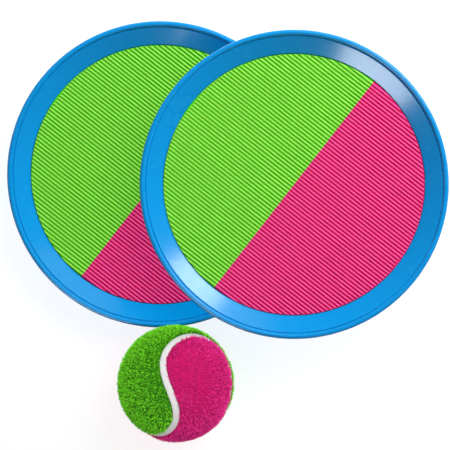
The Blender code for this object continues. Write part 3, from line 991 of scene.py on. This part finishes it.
class CATCHSET_OT_ball(bpy.types.Operator):
    """Model the ball: its core, the seam, two felt panels and their pile"""

    bl_idname = "catchset.ball"
    bl_label = "Felt Ball"

    # The share of the pile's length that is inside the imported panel, and the share of the panel's depth
    # past which its surface is the outer one, which carries the pile
    PILE_INSIDE = 0.75
    OUTER_SHARE = 0.45

    def execute(self, context):
        ball = context.scene.catchset_ball
        core = copied_node("ball_core", "rubber_core")
        smooth(core, 60)
        finish_piece(core, plain_rubber(ball), "ball_rubber", "ball_core")

        seam = copied_node("ball_seam", "rubber_seam")
        apply_modifier(seam, "SUBSURF", levels=2, render_levels=2)
        smooth(seam, 60)
        finish_piece(seam, seam_rubber(ball), "ball_seam", "ball_seam")

        tufts = bpy.data.collections.new("tufts")
        context.scene.collection.children.link(tufts)
        for seed in range(TUFT_KINDS):
            piece = tuft(ball, seed)
            for owner in list(piece.users_collection):
                owner.objects.unlink(piece)
            tufts.objects.link(piece)
        # Each tone pairs its tip colour with its darker root colour, which is painted shade
        for seed, (tone, tip, root) in enumerate((("green", ball.green_tip, ball.green_root_shade),
                                                  ("pink", ball.pink_tip, ball.pink_root_shade))):
            cloth = felt_cloth(f"{tone}_felt_cloth", tip, root)
            felt = self.backing(ball, tone)
            pile = twin(felt, f"{tone}_pile")
            apply_modifier(pile, "NODES", node_group=scatter_tree(tufts, ball, 10 * seed + 3))
            # The backing lies below both heights, so all of it takes the colour of the pile's roots, which is
            # painted shade under the pile
            add_height_map(felt, 1.0, 2.0)
            finish_piece(felt, cloth, f"{tone}_felt", f"ball_{tone}_felt")
            finish_piece(pile, cloth, f"{tone}_felt")
        for piece in list(tufts.objects):
            bpy.data.objects.remove(piece)
        bpy.data.collections.remove(tufts)
        return {"FINISHED"}

    def backing(self, ball, tone):
        """Backing felt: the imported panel, remeshed evenly, rounded, and thinned by the pile's depth."""
        felt = copied_node(f"ball_{tone}_felt", f"{tone}_felt")
        apply_modifier(felt, "REMESH", mode="VOXEL", voxel_size=ball.felt_voxel)
        apply_modifier(felt, "SMOOTH", factor=0.5, iterations=4)
        mesh = felt.data
        centre = np.array(BALL_CENTRE, np.float32)
        out = vertex_places(mesh) - centre
        radius = np.linalg.norm(out, axis=1)
        inner = radius.min()
        share = np.clip((radius - inner) / (BALL_RADIUS - inner), 0, 1)
        thickness = BALL_RADIUS - inner - self.PILE_INSIDE * ball.pile_length
        wanted = inner + share * thickness
        out *= (wanted / radius)[:, None]
        mesh.vertices.foreach_set("co", (out + centre).ravel())
        mesh.update()
        outer = mesh.attributes.new("outer", "FLOAT", "POINT")
        outer.data.foreach_set("value", (share > self.OUTER_SHARE).astype(np.float32))
        smooth(felt, 80)
        return felt


LAMPS_AIM = Vector((0, 0, 0.02))


def lamp(name, watts, width, height, distance, azimuth, elevation):
    """A rectangular soft lamp aimed at the set; azimuth is measured from +X towards +Y."""
    data = bpy.data.lights.new(name, "AREA")
    data.shape = "RECTANGLE"
    data.size = width
    data.size_y = height
    data.energy = watts
    obj = bpy.data.objects.new(name, data)
    bpy.context.scene.collection.objects.link(obj)
    level = math.radians(elevation)
    turn = math.radians(azimuth)
    obj.location = distance * Vector((
        math.cos(level) * math.cos(turn), math.cos(level) * math.sin(turn), math.sin(level)))
    obj.rotation_euler = (LAMPS_AIM - obj.location).to_track_quat("-Z", "Y").to_euler()
    obj.visible_camera = False
    return obj


class CATCHSET_OT_stage(bpy.types.Operator):
    """Set the floor, the lamps, the sky and the camera straight above"""

    bl_idname = "catchset.stage"
    bl_label = "Stage"

    # Each lamp's width, height and distance in metres, then its azimuth and elevation in degrees
    KEY = (0.9, 0.9, 1.6, 55, 52)
    FILL = (0.9, 0.6, 1.6, 56, 40)
    BALL_FILL = (0.9, 0.6, 1.6, 60, 76)
    NEAR_BOX = (0.62, 0.24, 1.2, 236, 35.5)
    FAR_BOX = (0.42, 0.15, 1.2, 43, 30)
    # The lower and the upper paddle's centre in the photograph, in pixels, and their radius there
    LOWER_AT = (160.4, 174.0)
    UPPER_AT = (294.2, 184.6)
    RADIUS_SHOWN = 154.1
    FRAME = 450

    def execute(self, context):
        stage = context.scene.catchset_stage
        object_mode()
        bpy.ops.mesh.primitive_circle_add(vertices=128, radius=stage.floor_radius, fill_type="NGON",
                                          location=(0, 0, -stage.floor_drop))
        floor = bpy.context.active_object
        floor.name = "studio_floor"
        bpy.ops.object.transform_apply()
        floor.data.materials.append(self.floor_paint())

        lamp("key_lamp", stage.key, *self.KEY)
        near_box = lamp("near_box_lamp", stage.near_box, *self.NEAR_BOX)
        near_box.visible_diffuse = False
        things = self.things(floor)
        far_box = lamp("far_box_lamp", stage.far_box, *self.FAR_BOX)
        far_box.visible_diffuse = False
        far_box.light_linking.receiver_collection = things["upper"]
        for name, thing in things.items():
            watts, place = (stage.ball_fill, self.BALL_FILL) if name == "ball" else (stage.fill, self.FILL)
            fill = lamp(f"{name}_fill_lamp", watts, *place)
            fill.visible_glossy = False
            fill.light_linking.receiver_collection = thing
            fill.light_linking.blocker_collection = thing
        self.sky(context.scene, stage)
        self.camera(context.scene, stage)
        context.scene.view_settings.view_transform = "Standard"
        return {"FINISHED"}

    @staticmethod
    def things(floor):
        """Collections of what each fill lights: it shades the thing itself, and casts no shadow past it."""
        shown = [obj for obj in bpy.context.scene.objects if obj.type == "MESH" and "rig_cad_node" not in obj]
        groups = {side: [obj for obj in shown if obj.name.startswith(side)] for side in SIDES}
        groups["ball"] = [obj for obj in shown if obj != floor and not obj.name.startswith(SIDES)]
        groups["floor"] = [floor]
        things = {}
        for name, group in groups.items():
            things[name] = bpy.data.collections.new(f"{name}_lit")
            for obj in group:
                things[name].objects.link(obj)
        return things

    @staticmethod
    def floor_paint():
        """White floor that keeps shadows and shows white to the eye and in reflections."""
        material, paint = new_paint("studio_white")
        body = paint.add("ShaderNodeBsdfDiffuse", {}, {"Color": (0.86, 0.86, 0.86, 1.0)})
        seen, mirrored, through = [paint.add("ShaderNodeLightPath", {}, {}, f"Is {kind} Ray")
                                   for kind in ("Camera", "Glossy", "Transmission")]
        lift = paint.add("ShaderNodeEmission", {}, {"Strength": 0.22 * (seen + mirrored + through)})
        whole = paint.add("ShaderNodeAddShader", {}, {0: body, 1: lift})
        paint.add("ShaderNodeOutputMaterial", {}, {"Surface": whole})
        return material

    @staticmethod
    def sky(scene, stage):
        """A studio that is white round the horizon and darker overhead."""
        world = bpy.data.worlds.new("studio")
        scene.world = world
        world.use_nodes = True
        paint = Paint(world.node_tree)
        up = paint.add("ShaderNodeTexCoord", {}, {}, "Generated")
        grey = (stage.sky, stage.sky, stage.sky, 1.0)
        stops = [(0.05, (1, 1, 1, 1)), (0.16, grey)]
        tone = paint.add("ShaderNodeValToRGB", {"stops": stops}, {0: paint.axis(up, "Z")}, "Color")
        back = paint.add("ShaderNodeBackground", {}, {"Color": tone, "Strength": 1.0})
        paint.add("ShaderNodeOutputWorld", {}, {"Surface": back})

    def camera(self, scene, stage):
        """Camera straight above, framed so that both paddles show where the photograph shows them."""
        faces = [paddle_place(side) @ Vector((0, 0, PACKED_HEIGHT)) for side in SIDES]
        height = (faces[0].z + faces[1].z) / 2 + stage.camera_distance
        scale = PACKED_RADIUS / self.RADIUS_SHOWN
        middle = self.FRAME / 2
        centre = Vector()
        for face, (right, down) in zip(faces, (self.LOWER_AT, self.UPPER_AT)):
            nearness = (height - face.z) / stage.camera_distance
            centre += (face + scale * nearness * Vector((middle - right, down - middle, 0))) / 2
        data = bpy.data.cameras.new("camera")
        data.sensor_width = 36
        data.lens = data.sensor_width * stage.camera_distance / (scale * self.FRAME)
        data.clip_end = 20
        obj = bpy.data.objects.new("camera", data)
        scene.collection.objects.link(obj)
        obj.location = (centre.x, centre.y, height)
        scene.camera = obj


class CATCHSET_PT_panel(bpy.types.Panel):
    """Sizes, colours and steps of the toss and catch set"""

    bl_idname = "CATCHSET_PT_panel"
    bl_label = "Toss and Catch Set"
    bl_space_type = "VIEW_3D"
    bl_region_type = "UI"
    bl_category = "Catch Set"

    def draw(self, context):
        layout = self.layout
        for attribute, group in GROUPS.items():
            settings = getattr(context.scene, attribute)
            for key in group.__annotations__:
                layout.prop(settings, key)
        for operator in OPERATORS:
            layout.operator(operator.bl_idname)


OPERATORS = (
    CATCHSET_OT_shells,
    CATCHSET_OT_hook_faces,
    CATCHSET_OT_straps,
    CATCHSET_OT_ball,
    CATCHSET_OT_stage,
)


def register():
    """Register the settings, the operators and the panel."""
    for attribute, group in GROUPS.items():
        bpy.utils.register_class(group)
        setattr(bpy.types.Scene, attribute, PointerProperty(type=group))
    for operator in OPERATORS:
        bpy.utils.register_class(operator)
    bpy.utils.register_class(CATCHSET_PT_panel)


def unregister():
    """Undo register."""
    bpy.utils.unregister_class(CATCHSET_PT_panel)
    for operator in reversed(OPERATORS):
        bpy.utils.unregister_class(operator)
    for attribute, group in reversed(GROUPS.items()):
        delattr(bpy.types.Scene, attribute)
        bpy.utils.unregister_class(group)


def main():
    """Register everything and run the operators in order."""
    register()
    bpy.ops.catchset.shells()
    bpy.ops.catchset.hook_faces()
    bpy.ops.catchset.straps()
    bpy.ops.catchset.ball()
    bpy.ops.catchset.stage()
    object_mode()


if __name__ == "__main__":
    main()
